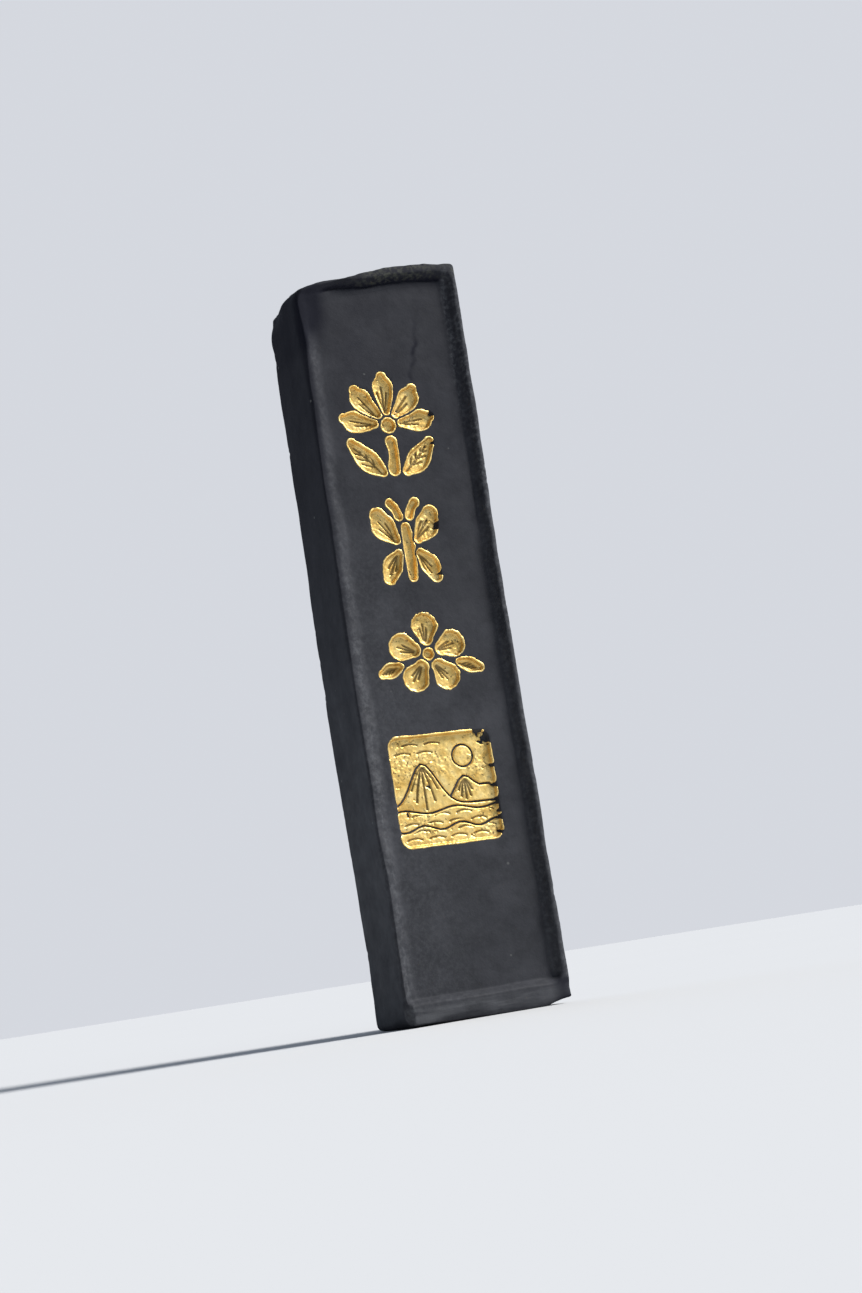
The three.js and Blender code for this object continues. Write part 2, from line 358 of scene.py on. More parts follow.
def engraving(node):
    """The strokes engraved in a deposit, or None for a plain one."""
    low, high = outline_corners(node)
    rim = outlines[node].reshape(-1, 2)
    heart = picture_middle(picture_of(node))
    if node.startswith("seal_mountain"):
        peak = rim[rim[:, 1].argmax()]
        return fan(peak + np.array([0, -0.1]), np.array([peak[0], low[1]]), 5, 0.36, 1.0)
    if node.startswith("seal_water"):
        return wave_lines(low, high, 2, 0.35)
    if node == "seal_sky":
        return wave_lines(np.array([low[0], high[1] - 2.6]), np.array([high[0] - 5.4, high[1]]), 2, 0.3)
    if "leaf" in node:
        below = np.array([heart[0], heart[1] - 5.0]) if node.startswith("lotus") else heart
        return leaf_ribs(*long_ends(node, below))
    if "petal" in node or "wing" in node:
        away = np.linalg.norm(rim - heart, axis=1)
        return fan(rim[away.argmin()], rim[away.argmax()], 3, 0.3, 0.72)
    return None


# ---------------------------------------------------------------------------
# The front as a height map, shared by the ink and the gold
# ---------------------------------------------------------------------------

INK_WALL = (-0.04, 0.42)  # the wall of a pit in the ink, as distances inside its mouth
GOLD_WALL = (0.05, 0.32)  # the same wall under its gold
GOLD_DEPTH = 0.56  # the gilded floor, below the field
NEAR_PIT = 1.0  # points further than this from a box round a pit aren't measured against it


def field_wave(x, z):
    """Unevenness of the sunk field, as a shift in y."""
    place = flat_points(x, z)
    wave = 0.045 * noise(place, 7.0, 1) + 0.02 * noise(place, 2.3, 2)
    return wave + 0.009 * noise(place, 0.7, 3) + 0.005 * noise(place, 0.33, 4)


def pit_corners(node):
    """Corners of a box round a deposit's outline, or round the whole seal for a part of it."""
    if node not in seal_nodes:
        return outline_corners(node)
    middle, half = seal_square()
    return middle - half, middle + half


def deepest_inside(x, z):
    """How far inside the nearest mouth each point lies, well below zero away from them all."""
    depth = np.full(len(x), -FAR)
    single_pits = [name for name in gold_nodes if name not in seal_nodes]
    for node in single_pits + seal_nodes[:1]:
        low, high = pit_corners(node)
        near = (x > low[0] - NEAR_PIT) & (x < high[0] + NEAR_PIT)
        near &= (z > low[1] - NEAR_PIT) & (z < high[1] + NEAR_PIT)
        depth[near] = np.maximum(depth[near], inside_mouth(node, x[near], z[near]))
    return depth


# ---------------------------------------------------------------------------
# The cake of ink
#
# x runs from -11 at the left side to 11 at the right, y from -5.5 in front to 5.5 behind, and z
# from 0 at the foot to 97 at the top. A drop is a distance below the top end.
# ---------------------------------------------------------------------------

RELAX_ROUNDS = 10


def top_height(x):
    """Height of the top end, which falls away to the left."""
    span = np.clip((HALF_WIDTH - x) / (2 * HALF_WIDTH), 0, 1)
    return LENGTH - TOP_DIP * span**TOP_DIP_POWER


def rounded(points, radius):
    """The points moved onto a block of the cake's size with round edges of that radius."""
    x, y, z = points.T
    core = np.column_stack([
        np.clip(x, -HALF_WIDTH + radius, HALF_WIDTH - radius),
        np.clip(y, FRONT_PLANE + radius, BACK_PLANE - radius),
        np.clip(z, radius, top_height(x) - radius),
    ])
    arm = points - core
    length = np.maximum(np.linalg.norm(arm, axis=1), 1e-9)
    return core + arm * np.minimum(1, radius / length)[:, None]


def edge_closeness(points, reach):
    """1 on the cake's outer edges, falling to 0 at that distance from them."""
    x, y, z = points.T
    gaps = np.column_stack([
        HALF_WIDTH - np.abs(x),
        np.minimum(y - FRONT_PLANE, BACK_PLANE - y),
        np.minimum(z, top_height(x) - z),
    ])
    second = np.sort(gaps, axis=1)[:, 1]
    return 1 - smooth_step(second, 0, reach)


def wear_edges(points):
    """Rounds the edges, most along the left of the front, and chips them here and there."""
    x, y, z = points.T
    drop = top_height(x) - z
    left_front = smooth_step(x, 6, -9) * smooth_step(y, 2, -3)
    radius = 0.3 + 0.25 * smooth_step(noise(points, 6.0, 21), -0.5, 0.7)
    radius += left_front * (0.45 + 0.95 * smooth_step(drop, 14, 4) + 0.7 * smooth_step(z, 6, 1))
    points = rounded(points, radius)
    long = points * [1.0, 1.0, 0.45]
    chip = smooth_step(noise(long, 1.3, 22) + 0.5 * noise(points, 0.5, 23), 0.5, 1.2)
    chip *= edge_closeness(points, 1.2) * smooth_step(drop, 0.5, 4.0)
    return points + chip[:, None] * 0.5 * (rounded(points, 1.3) - points)


def shape_upper_left(points):
    """The crown of the top end on the left, and the notch in its back edge."""
    x, y, z = points.T
    near = smooth_step(x, -7.5, -10.8) * smooth_step(y, 0.0, 4.5)
    shift = 0.4 * bell(z, 92.5, 0.9) - 0.15 * bell(z, 90.0, 1.2)
    crown = smooth_step(x, -3.0, -10.0) * smooth_step(top_height(x) - z, 3.0, 0.0)
    moved = points.copy()
    moved[:, 0] += near * shift
    moved[:, 2] += 0.65 * crown * np.maximum(0, 1 - ((y + 2.2) / 5.0) ** 2)
    return moved


def swell_sides(points):
    """Lets the long sides bulge a little, and draws the lower right corner down to a point."""
    x, _, z = points.T
    left = 0.55 * smooth_step(z, 8, 45) - 0.1
    right = 0.1 + 0.35 * smooth_step(z, 50, 90)
    moved = points.copy()
    moved[:, 0] += right * smooth_step(x, 8.8, 9.8) - left * smooth_step(x, -9.0, -10.8)
    moved[:, 2] -= 0.5 * smooth_step(x, 9.5, 11.0) * bell(z, 1.2, 1.2)
    return moved


def top_rim_width(x):
    """How far below the top end the front's sunk field begins: less on the left."""
    return 1.95 - 0.95 * smooth_step(x, -1.0, -7.0)


def melt_left_border(points):
    """Wears the front's left border to a rough slope and the left of its top border to a slim one.

    At the outermost rim nothing comes further forward than it was.
    """
    x, y, z = points.T
    waver = 0.3 * height_noise(z, 4.0, 24) + 0.15 * noise(points, 1.2, 25)
    drop = top_height(x) - z
    left = 0.5 + 0.08 * height_noise(z, 7.0, 26)
    left *= smooth_step(x + waver, -8.9, -11.0) * (0.3 + 0.7 * smooth_step(drop, 0.5, 6.0))
    above_field = top_rim_width(x) - drop - 0.5 * waver
    top = (0.15 + 0.75 * smooth_step(x, -8.5, -4.0)) * smooth_step(above_field, -0.05, 0.9)
    foot = 0.9 * smooth_step(z + 0.3 * waver, 3.5, 2.6)
    rise = np.maximum(np.maximum(left, top), foot)
    worn = FIELD_PLANE - rise - 0.06 * noise(points, 0.5, 27) * bell(x, -10.0, 0.8)
    rim = (x < -10.2) | (drop < 0.3) | (z < 0.3)
    melted = np.where(rim, np.maximum(y, worn), worn)
    share = np.maximum(smooth_step(x, -4.5, -8.5), smooth_step(x, 1, -2) * smooth_step(drop, 4, 3))
    share *= y < FIELD_PLANE + 0.3
    moved = points.copy()
    moved[:, 1] += share * (melted - y)
    return moved


def near_crack(points):
    """1 in the crack down the upper part of the field, 0 away from it."""
    x, _, z = points.T
    path = 3.1 + 0.13 * (z - 80.4) + 0.9 * height_noise(z, 1.9, 65)
    path += 0.2 * noise(points, 0.8, 66)
    broken = 0.4 + 0.6 * smooth_step(noise(points, 1.2, 62), -0.6, 0.3)
    return broken * bell(x, path, 0.3) * smooth_step(z, 80.4, 81.5) * smooth_step(z, 90.0, 89.0)


def near_top_line(points):
    """1 in the wobbly groove at the foot of the front's top rim, 0 away from it."""
    x, _, z = points.T
    drop = top_rim_width(x) + 0.2 * width_noise(x, 2.2, 38) + 0.1 * width_noise(x, 0.7, 39)
    return bell(top_height(x) - z, drop, 0.22) * smooth_step(x, -9.0, -6.5) * smooth_step(x, 9.6, 9.0)


def cut_grooves(points):
    """Sinks the crack and the line under the top rim into the front."""
    moved = points.copy()
    depth = 0.05 * near_crack(points) + 0.22 * near_top_line(points)
    moved[:, 1] += depth * (points[:, 1] < FIELD_PLANE + 0.3)
    return moved


def wander(points):
    """Low, slow unevenness of the whole block, left flat where it stands, with ragged borders."""
    x, y, z = points.T
    steady = smooth_step(z, 0.0, 3.0)
    top = smooth_step(top_height(x) - z, 1.5, 0.0)
    border = bell(np.abs(x), 9.9, 0.7) * (np.abs(y) < BACK_PLANE - 0.02)
    ragged = smooth_step(x, 0, 9) * smooth_step(z, 60, 85)
    shift = np.column_stack([
        0.11 * noise(points, 9.0, 31 + axis) + 0.05 * noise(points, 3.0, 34 + axis)
        for axis in range(3)
    ])
    shift[:, 2] *= steady
    shift[:, 2] += top * (0.1 * noise(points, 1.7, 53) + 0.06 * noise(points, 0.7, 54))
    shift[:, 0] += border * (0.13 * noise(points, 1.6, 37) + 0.07 * noise(points, 0.5, 40))
    shift[:, 0] += border * ragged * (0.14 * noise(points, 0.9, 28) + 0.1 * noise(points, 0.45, 29))
    return points + shift


def sink_pits(points, in_field):
    """Gives the sunk field its unevenness and each pit a sloped wall and a flat floor."""
    chosen = np.flatnonzero(in_field > 0)
    x, _, z = points[chosen].T
    sunk = PIT_DEPTH * smooth_step(deepest_inside(x, z), *INK_WALL)
    shaped = FIELD_PLANE + sunk + field_wave(x, z)
    weight = in_field[chosen]
    points[chosen, 1] += weight * (shaped - points[chosen, 1])
    return points


def field_weight(points):
    """1 on the flat of the front field and in its pits, 0 on the slopes round it."""
    x, y, z = points.T
    weight = smooth_step(x, -9.8, -8.4) * smooth_step(x, 9.3, 8.8) * smooth_step(z, 3.8, 5.0)
    weight *= smooth_step(top_height(x) - z, 2.5, 3.1)
    return weight * (y < FIELD_PLANE + PIT_DEPTH + 0.6)


def roughen(points, normals):
    """Fine grain of the moulded surface, square to it."""
    grain = 0.03 * noise(points, 2.2, 41) + 0.014 * noise(points, 0.8, 42)
    grain += 0.008 * noise(points, 0.35, 43)
    return points + grain[:, None] * normals


def softness(points):
    """How strongly each point is relaxed: in patches, and most along the left of the front."""
    x, y, _ = points.T
    strength = 0.06 + 0.1 * smooth_step(noise(points, 5.0, 51), -0.6, 0.6)
    return strength + 0.35 * smooth_step(x, -8.0, -9.5) * smooth_step(y, 1.0, -2.5)


def cake_mesh():
    """The cake's CAD solid as a fine mesh, worn, uneven and with soft pits."""
    source = bpy.data.objects.new("cake_source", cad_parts["ink_body"].data.copy())
    bpy.context.scene.collection.objects.link(source)
    source.data.transform(Matrix.Scale(1 / MM, 4))
    source.data = with_modifier(source, "REMESH", mode="VOXEL", voxel_size=CAKE_VOXEL)
    mesh = source.data
    edges = read_edges(mesh)
    points = wear_edges(read_points(mesh))
    points = melt_left_border(swell_sides(shape_upper_left(points)))
    points = relax(points, edges, softness(points), RELAX_ROUNDS)
    in_field = field_weight(points)
    write_points(mesh, points)
    rough = wander(roughen(points, read_normals(mesh)))
    points = rough + in_field[:, None] * (points - rough)
    points = cut_grooves(sink_pits(points, in_field))
    points[:, 2] = np.maximum(points[:, 2], 0)
    write_points(mesh, points)
    ratio = CAKE_TRIANGLES / sum(len(face.vertices) - 2 for face in mesh.polygons)
    result = with_modifier(source, "DECIMATE", ratio=min(1, ratio))
    bpy.data.objects.remove(source)
    return result


def wear_and_painted_light_share(points, front, patchy):
    """How pale the ink is, from wear and from painted light: worn along the front's borders, on the edges
    and on the back's rim, with painted light on the left band, towards the lower left and on the shaded
    right slope.
    """
    x, y, z = points.T
    drop = top_height(x) - z
    # Left band: worn pale ink and partly a painted highlight along the lit slope of the left border. It
    # is wider higher up and fainter near the foot.
    inner_reach = 0.9 + 0.8 * smooth_step(z, 60, 85)
    left_band = front * bell(x, -10.4, np.where(x > -10.4, inner_reach, 0.6)) * (0.2 + 0.4 * patchy)
    left_band *= smooth_step(drop, 4.0, 8.0) * (0.75 + 0.35 * noise(points, 0.9, 68))
    left_band *= 0.5 + 0.5 * smooth_step(z, 5, 40)
    left_line = front * bell(x, -10.2 + 0.2 * noise(points, 2.5, 69), 0.3) * smooth_step(z, 40, 15)
    low_line = front * bell(z, 2.8 + 0.15 * noise(points, 2.0, 66), 0.35) * (0.3 + 0.7 * patchy)
    # Right line: pale crumbs along the right slope, painted bright as if lit even where they lie in its
    # shade. Then a pale strip along the right rim.
    right_line = front * bell(x, 9.5 + 0.3 * noise(points, 1.4, 70), 0.4) * smooth_step(drop, 26, 8)
    right_line += 0.9 * front * smooth_step(x, 10.1, 10.5) * smooth_step(z, 40, 80) * (0.4 + 0.6 * patchy)
    edge = edge_closeness(points, 0.5) * (0.1 + 0.6 * patchy) * smooth_step(drop, 1.0, 3.0)
    back_rim = 0.7 * smooth_step(y, -FIELD_PLANE + 0.2, BACK_PLANE) * patchy
    wear_and_painted_light = left_band + 0.2 * left_line + 0.2 * low_line + right_line + 0.7 * edge + back_rim
    # Painted light: paler towards the lower left of the front, and the shaded right slope painted
    # lighter.
    low_left = 0.15 * smooth_step(x, 4, -8) * smooth_step(z, 75, 55)
    wear_and_painted_light += front * (low_left + 0.25 * smooth_step(x, 9.0, 9.5))
    return np.clip(wear_and_painted_light, 0, 1)


def painted_shade_and_dark_share(points, front, top_rim):
    """How dark the ink is painted, mostly as painted shade: in its crack and the groove under the top
    rim, darker up the stick, on the upper left side, and at the top-left and lower-right corners. It is
    also darker on the top rim and at the very foot.
    """
    x, _, z = points.T
    drop = top_height(x) - z
    # Painted shade in the crack and in the groove under the top rim. The top rim itself is a little
    # darker.
    dark_and_painted_shade = front * (0.5 * near_crack(points) + near_top_line(points)) + 0.2 * top_rim
    # Painted shade: darker up the stick.
    dark_and_painted_shade += 0.42 * smooth_step(z, 25, 88)
    # Painted shade on the upper part of the left side.
    dark_and_painted_shade += 0.4 * smooth_step(x, -10.2, -10.9) * smooth_step(z, 10, 70)
    # Painted shade at the top-left corner, over the place where its lit edge turns to shade.
    dark_and_painted_shade += 0.8 * smooth_step(x, -6.5, -9.5) * smooth_step(drop, 9.0, 3.0)
    # Painted shade at the lower right of the front, below the shaded right slope.
    dark_and_painted_shade += 0.75 * front * smooth_step(x, 8.0, 10.0) * smooth_step(z, 3.8, 2.6)
    dark_and_painted_shade += front * (0.25 * bell(z, 3.1, 0.5) + 0.35 * smooth_step(z, 1.2, 0.2))
    return np.clip(dark_and_painted_shade, 0, 1)


def paint_cake(mesh):
    """Stores where the ink is worn pale or painted lighter, dusty, dark or in painted shade, or scuffed
    at the foot, for its material.
    """
    points = read_points(mesh)
    x, y, z = points.T
    patchy = 0.5 + 0.5 * noise(points, 3.0, 61)
    front = smooth_step(y, FIELD_PLANE + 0.4, FIELD_PLANE)
    drop = top_height(x) - z
    top_rim = front * smooth_step(top_rim_width(x) - drop, -0.05, 0.25) * smooth_step(x, -8.5, -4.0)
    set_attribute(mesh, "wear_and_painted_light", wear_and_painted_light_share(points, front, patchy))
    set_attribute(mesh, "dust", 0.7 * top_rim * smooth_step(x, -7, 0) * patchy)
    set_attribute(mesh, "dark_and_painted_shade", painted_shade_and_dark_share(points, front, top_rim))
    set_attribute(mesh, "foot", front * smooth_step(z, 2.5, 2.0) * (0.3 + 0.4 * patchy))


# ---------------------------------------------------------------------------
# The gilding
# ---------------------------------------------------------------------------

GOLD_PROUD = 0.04  # outside its pit the gold stands this far in front of the field
GOLD_BURIED = 0.09  # where gold is lost, the front of its skin hides this far inside the ink
GOLD_BACK = 0.2  # and the back of the skin is this far inside it everywhere
GOLD_MARGIN = 0.8  # how far a skin's grid reaches past its deposit's outline
GOLD_PARTING = 0.24  # bare ink between two deposits of a picture other than the seal
ENGRAVED_DEPTH = 0.14


def neighbour_distances(node, x, z):
    """Distances to the outline of each other deposit of the same picture."""
    return [
        outline_distance(x, z, outlines[other])
        for other in gold_nodes
        if other != node and picture_of(other) == picture_of(node)
    ]


def gold_cover(node, x, z, own, others):
    """How far inside the gold's ragged edge each point lies, below zero where ink shows.

    The last two are its distances to the deposit's own outline and to its neighbours' outlines.
    """
    place = flat_points(x, z)
    lip = 0.1 + 0.07 * noise(place, 0.9, 71) + 0.04 * noise(place, 0.35, 72)
    cover = inside_mouth(node, x, z) + lip
    parting = SEAL_LINE if node in seal_nodes else GOLD_PARTING
    ragged = 0.05 * noise(place, 0.5, 73)
    for other in others:
        cover = np.minimum(cover, (other - own - parting + ragged) / 2)
    lost = noise(place, 1.1, 74) + 0.6 * noise(place, 0.4, 75) + gold_loss(node, x, z)
    return np.minimum(cover, (1.0 - lost) * 0.4)


def gold_loss(node, x, z):
    """How likely the gold is to have flaked off: most at the right ends and the seal's corner."""
    members = [outline_corners(name) for name in gold_nodes if picture_of(name) == picture_of(node)]
    right = max(high[0] for _, high in members)
    top = max(high[1] for _, high in members)
    if node in seal_nodes:
        corner = bell(np.hypot(x - right + 0.9, z - top + 0.7), 0, 1.3)
        return 1.3 * corner + 0.45 * smooth_step(x, right - 0.3, right + 0.3)
    return 1.4 * smooth_step(x, right - 1.6, right + 0.2) - 0.45


def engraved_share(node, x, z, own):
    """1 along the strokes engraved in a deposit, 0 away from them and outside its outline."""
    strokes = engraving(node)
    if strokes is None:
        return np.zeros(len(x))
    return smooth_step(line_distance(x, z, strokes), 0.2, 0.07) * smooth_step(-own, 0.1, 0.25)


def gold_sheet(node):
    """A closed skin of gold in a node's pit, with its front towards -Y and its back in the ink."""
    low, high = outline_corners(node)
    across = np.arange(low[0] - GOLD_MARGIN, high[0] + GOLD_MARGIN, GOLD_GRID)
    up = np.arange(low[1] - GOLD_MARGIN, high[1] + GOLD_MARGIN, GOLD_GRID)
    x, z = (grid.ravel() for grid in np.meshgrid(across, up))
    place = flat_points(x, z)
    inside = inside_mouth(node, x, z)
    own = outline_distance(x, z, outlines[node])
    others = neighbour_distances(node, x, z)
    wave = field_wave(x, z)
    floor = FIELD_PLANE + wave + PIT_DEPTH * smooth_step(inside, *INK_WALL)
    rough = smooth_step(noise(place, 2.6, 83), -0.2, 0.5)
    grain = 0.024 * noise(place, 0.8, 81) + (0.012 + 0.045 * rough) * noise(place, 0.28, 82)
    skin = FIELD_PLANE + wave + GOLD_DEPTH * smooth_step(inside, *GOLD_WALL) - GOLD_PROUD + grain
    cut = engraved_share(node, x, z, own)
    skin += ENGRAVED_DEPTH * cut
    hold = smooth_step(gold_cover(node, x, z, own, others), -0.11, 0.09)
    front = floor + GOLD_BURIED + hold * (skin - floor - GOLD_BURIED)
    nearest = np.min(others, axis=0) if others else np.full(len(x), FAR)
    kept = (inside > -0.3) & (own < nearest + 0.05)
    mesh, used = closed_sheet(len(across), len(up), x, z, front, floor + GOLD_BACK, kept)
    # Mask for the painted shade on the sloped walls of each pit.
    wall_shade_mask = smooth_step(inside, 0.0, 0.2) * smooth_step(inside, 0.55, 0.3)
    set_attribute(mesh, "engraved", cut[used])
    set_attribute(mesh, "painted_wall_shade", wall_shade_mask[used])
    set_attribute(mesh, "rough", rough[used])
    return mesh


def closed_sheet(columns, rows, x, z, front, back, kept):
    """Joins a front and a back over a grid into one closed mesh, where a whole cell is kept.

    Returns the mesh and the place in the grid of each of its vertices.
    """
    count = columns * rows
    grid = np.arange(count).reshape(rows, columns)
    cells = np.stack([grid[:-1, :-1], grid[:-1, 1:], grid[1:, 1:], grid[1:, :-1]], axis=-1)
    cells = cells[kept[cells].all(axis=-1)]
    sides = np.concatenate([cells[:, [k, (k + 1) % 4]] for k in range(4)])
    start, end = sides.T
    rim = sides[~np.isin(start * count + end, end * count + start)]
    walls = np.column_stack([rim[:, 1], rim[:, 0], rim[:, 0] + count, rim[:, 1] + count])
    faces = np.concatenate([cells, cells[:, ::-1] + count, walls])
    used, faces = np.unique(faces, return_inverse=True)
    points = np.concatenate([np.column_stack([x, front, z]), np.column_stack([x, back, z])])[used]
    mesh = bpy.data.meshes.new("sheet")
    mesh.from_pydata(points.tolist(), [], faces.reshape(-1, 4).tolist())
    mesh.update()
    return mesh, used % count


# ---------------------------------------------------------------------------
# Materials
# ---------------------------------------------------------------------------

MIX_FACTOR, MIX_ONE, MIX_OTHER, MIX_RESULT = 0, 6, 7, 2  # a Mix node's sockets for colours

INK_DEEP = (0.02, 0.0213, 0.0267, 1)
INK_BODY = (0.0395, 0.0412, 0.049, 1)
INK_MOTTLE = (0.012, 0.013, 0.017, 1)
INK_SPECK = (0.09, 0.09, 0.1, 1)
# Worn pale ink, and painted light.
INK_WORN_AND_LIT = (0.11, 0.115, 0.125, 1)
INK_SCUFFED = (0.115, 0.12, 0.13, 1)
# Painted shade, and darker ink.
INK_SHADE_AND_DARK = (0.0045, 0.0052, 0.0115, 1)
INK_DUSTY = (0.08, 0.083, 0.064, 1)
INK_DOT = (0.075, 0.078, 0.08, 1)

GOLD_THIN = (0.72, 0.46, 0.12, 1)
GOLD_BODY = (0.96, 0.68, 0.225, 1)
GOLD_THICK = (1.0, 0.77, 0.32, 1)
# Bare ink in flecks, and painted shade in the engraved lines.
GOLD_BARE_AND_GROOVE_SHADE = (0.1, 0.06, 0.025, 1)
GOLD_SHADED = (0.4, 0.22, 0.06, 1)

FLOOR_DULL = (0.563, 0.568, 0.578, 1)
FLOOR_BRIGHT = (0.567, 0.572, 0.582, 1)


def new_material(name):
    """A node material with its shader, and its tree."""
    material = bpy.data.materials.new(name)
    material.use_nodes = True
    tree = material.node_tree
    return material, tree, tree.nodes["Principled BSDF"]


def add_noise(tree, scale, detail, roughness=0.55, stretch=(1, 1, 1)):
    """Noise over the object's own coordinates, in features per metre."""
    place = tree.nodes.new("ShaderNodeTexCoord")
    mapping = tree.nodes.new("ShaderNodeMapping")
    mapping.inputs["Scale"].default_value = stretch
    tree.links.new(place.outputs["Object"], mapping.inputs["Vector"])
    texture = tree.nodes.new("ShaderNodeTexNoise")
    texture.inputs["Scale"].default_value = scale
    texture.inputs["Detail"].default_value = detail
    texture.inputs["Roughness"].default_value = roughness
    tree.links.new(mapping.outputs["Vector"], texture.inputs["Vector"])
    return texture.outputs["Fac"]


def add_dots(tree, scale, size):
    """Sparse dots: 1 near the middles of random cells, 0 between them."""
    place = tree.nodes.new("ShaderNodeTexCoord")
    cells = tree.nodes.new("ShaderNodeTexVoronoi")
    cells.inputs["Scale"].default_value = scale
    tree.links.new(place.outputs["Object"], cells.inputs["Vector"])
    return add_ramp(tree, cells.outputs["Distance"], [(0.6 * size, grey(1.0)), (size, grey(0.0))])


def add_attribute(tree, name):
    """What set_attribute stored under a name."""
    node = tree.nodes.new("ShaderNodeAttribute")
    node.attribute_name = name
    return node.outputs["Fac"]


def add_ramp(tree, value, stops):
    """A colour ramp over a value, from pairs of place and colour."""
    ramp = tree.nodes.new("ShaderNodeValToRGB")
    elements = ramp.color_ramp.elements
    elements[0].position, elements[0].color = stops[0]
    elements[1].position, elements[1].color = stops[-1]
    for position, color in stops[1:-1]:
        elements.new(position).color = color
    tree.links.new(value, ramp.inputs["Fac"])
    return ramp.outputs["Color"]


def feed(tree, socket, value):
    """Links a socket to another socket, or sets it to a constant."""
    if isinstance(value, bpy.types.NodeSocket):
        tree.links.new(value, socket)
    else:
        socket.default_value = value


def add_mix(tree, factor, one, other):
    """Two colours mixed by a factor. Each of the three is a socket or a constant."""
    mix = tree.nodes.new("ShaderNodeMix")
    mix.data_type = "RGBA"
    feed(tree, mix.inputs[MIX_FACTOR], factor)
    feed(tree, mix.inputs[MIX_ONE], one)
    feed(tree, mix.inputs[MIX_OTHER], other)
    return mix.outputs[MIX_RESULT]


def add_math(tree, kind, one, other):
    """A sum or product of two values. Each is a socket or a constant."""
    node = tree.nodes.new("ShaderNodeMath")
    node.operation = kind
    feed(tree, node.inputs[0], one)
    feed(tree, node.inputs[1], other)
    return node.outputs[0]


def add_bump(tree, shader, height, strength, distance):
    """Fine relief on a shader, from a height pattern. The distance is in metres."""
    bump = tree.nodes.new("ShaderNodeBump")
    bump.inputs["Strength"].default_value = strength
    bump.inputs["Distance"].default_value = distance
    tree.links.new(height, bump.inputs["Height"])
    tree.links.new(bump.outputs["Normal"], shader.inputs["Normal"])


def grey(level):
    """An even grey as a colour."""
    return (level, level, level, 1.0)


def ink_material():
    """Moulded ink: bluish black, paler where it is worn, scuffed, dusty or painted lighter, darker under
    painted shade, and rougher with wear.
    """
    material, tree, shader = new_material("moulded_ink")
    # The moulded body: cloudy, mottled and finely specked
    cloud = add_noise(tree, 160, 4)
    body = add_ramp(tree, cloud, [(0.3, INK_DEEP), (0.7, INK_BODY)])
    mottle = add_ramp(tree, add_noise(tree, 550, 5, 0.65), [(0.35, grey(0.45)), (0.55, grey(0.0))])
    body = add_mix(tree, mottle, body, INK_MOTTLE)
    speck = add_ramp(tree, add_noise(tree, 2400, 2), [(0.62, grey(0.0)), (0.8, grey(1.0))])
    body = add_mix(tree, add_math(tree, "MULTIPLY", speck, 0.12), body, INK_SPECK)
    # Worn and painted-light, scuffed, dark and painted-shade, and dusty places, which paint_cake stores
    # on the mesh
    speckle = add_ramp(tree, add_noise(tree, 1700, 4, 0.65), [(0.45, grey(0.12)), (0.62, grey(1.0))])
    # The wear mask is partly painted light: worn pale places, plus painted highlight on the left band,
    # the lower left and the shaded right slope.
    worn = add_math(tree, "MULTIPLY", add_attribute(tree, "wear_and_painted_light"), speckle)
    body = add_mix(tree, worn, body, INK_WORN_AND_LIT)
    streak = add_noise(tree, 1500, 3, stretch=(0.12, 1, 1))
    streak = add_ramp(tree, streak, [(0.4, grey(0.2)), (0.62, grey(0.9))])
    scuffed = add_math(tree, "MULTIPLY", add_attribute(tree, "foot"), streak)
    body = add_mix(tree, scuffed, body, INK_SCUFFED)
    # Painted shade: darkens the crack, the groove under the top rim, the ink up the stick, the upper left
    # side and two corners. The top rim and foot are darker.
    body = add_mix(tree, add_attribute(tree, "dark_and_painted_shade"), body, INK_SHADE_AND_DARK)
    crumbs = add_ramp(tree, add_noise(tree, 1800, 4), [(0.44, grey(0.0)), (0.62, grey(1.0))])
    dusty = add_math(tree, "MULTIPLY", add_attribute(tree, "dust"), crumbs)
    body = add_mix(tree, dusty, body, INK_DUSTY)
    # Single pale specks, a few millimetres apart
    body = add_mix(tree, add_dots(tree, 260, 0.055), body, INK_DOT)
    tree.links.new(body, shader.inputs["Base Color"])
    rough = add_ramp(tree, add_noise(tree, 300, 5), [(0.3, grey(0.62)), (0.7, grey(0.76))])
    rough = add_mix(tree, worn, rough, grey(0.85))
    rough = add_mix(tree, add_attribute(tree, "dark_and_painted_shade"), rough, grey(0.95))
    tree.links.new(rough, shader.inputs["Roughness"])
    shader.inputs["Specular IOR Level"].default_value = 0.25
    fine = add_math(tree, "MULTIPLY", add_noise(tree, 3500, 2), 0.4)
    height = add_math(tree, "ADD", add_noise(tree, 1100, 3), fine)
    add_bump(tree, shader, height, 0.45, 0.00006)
    return material


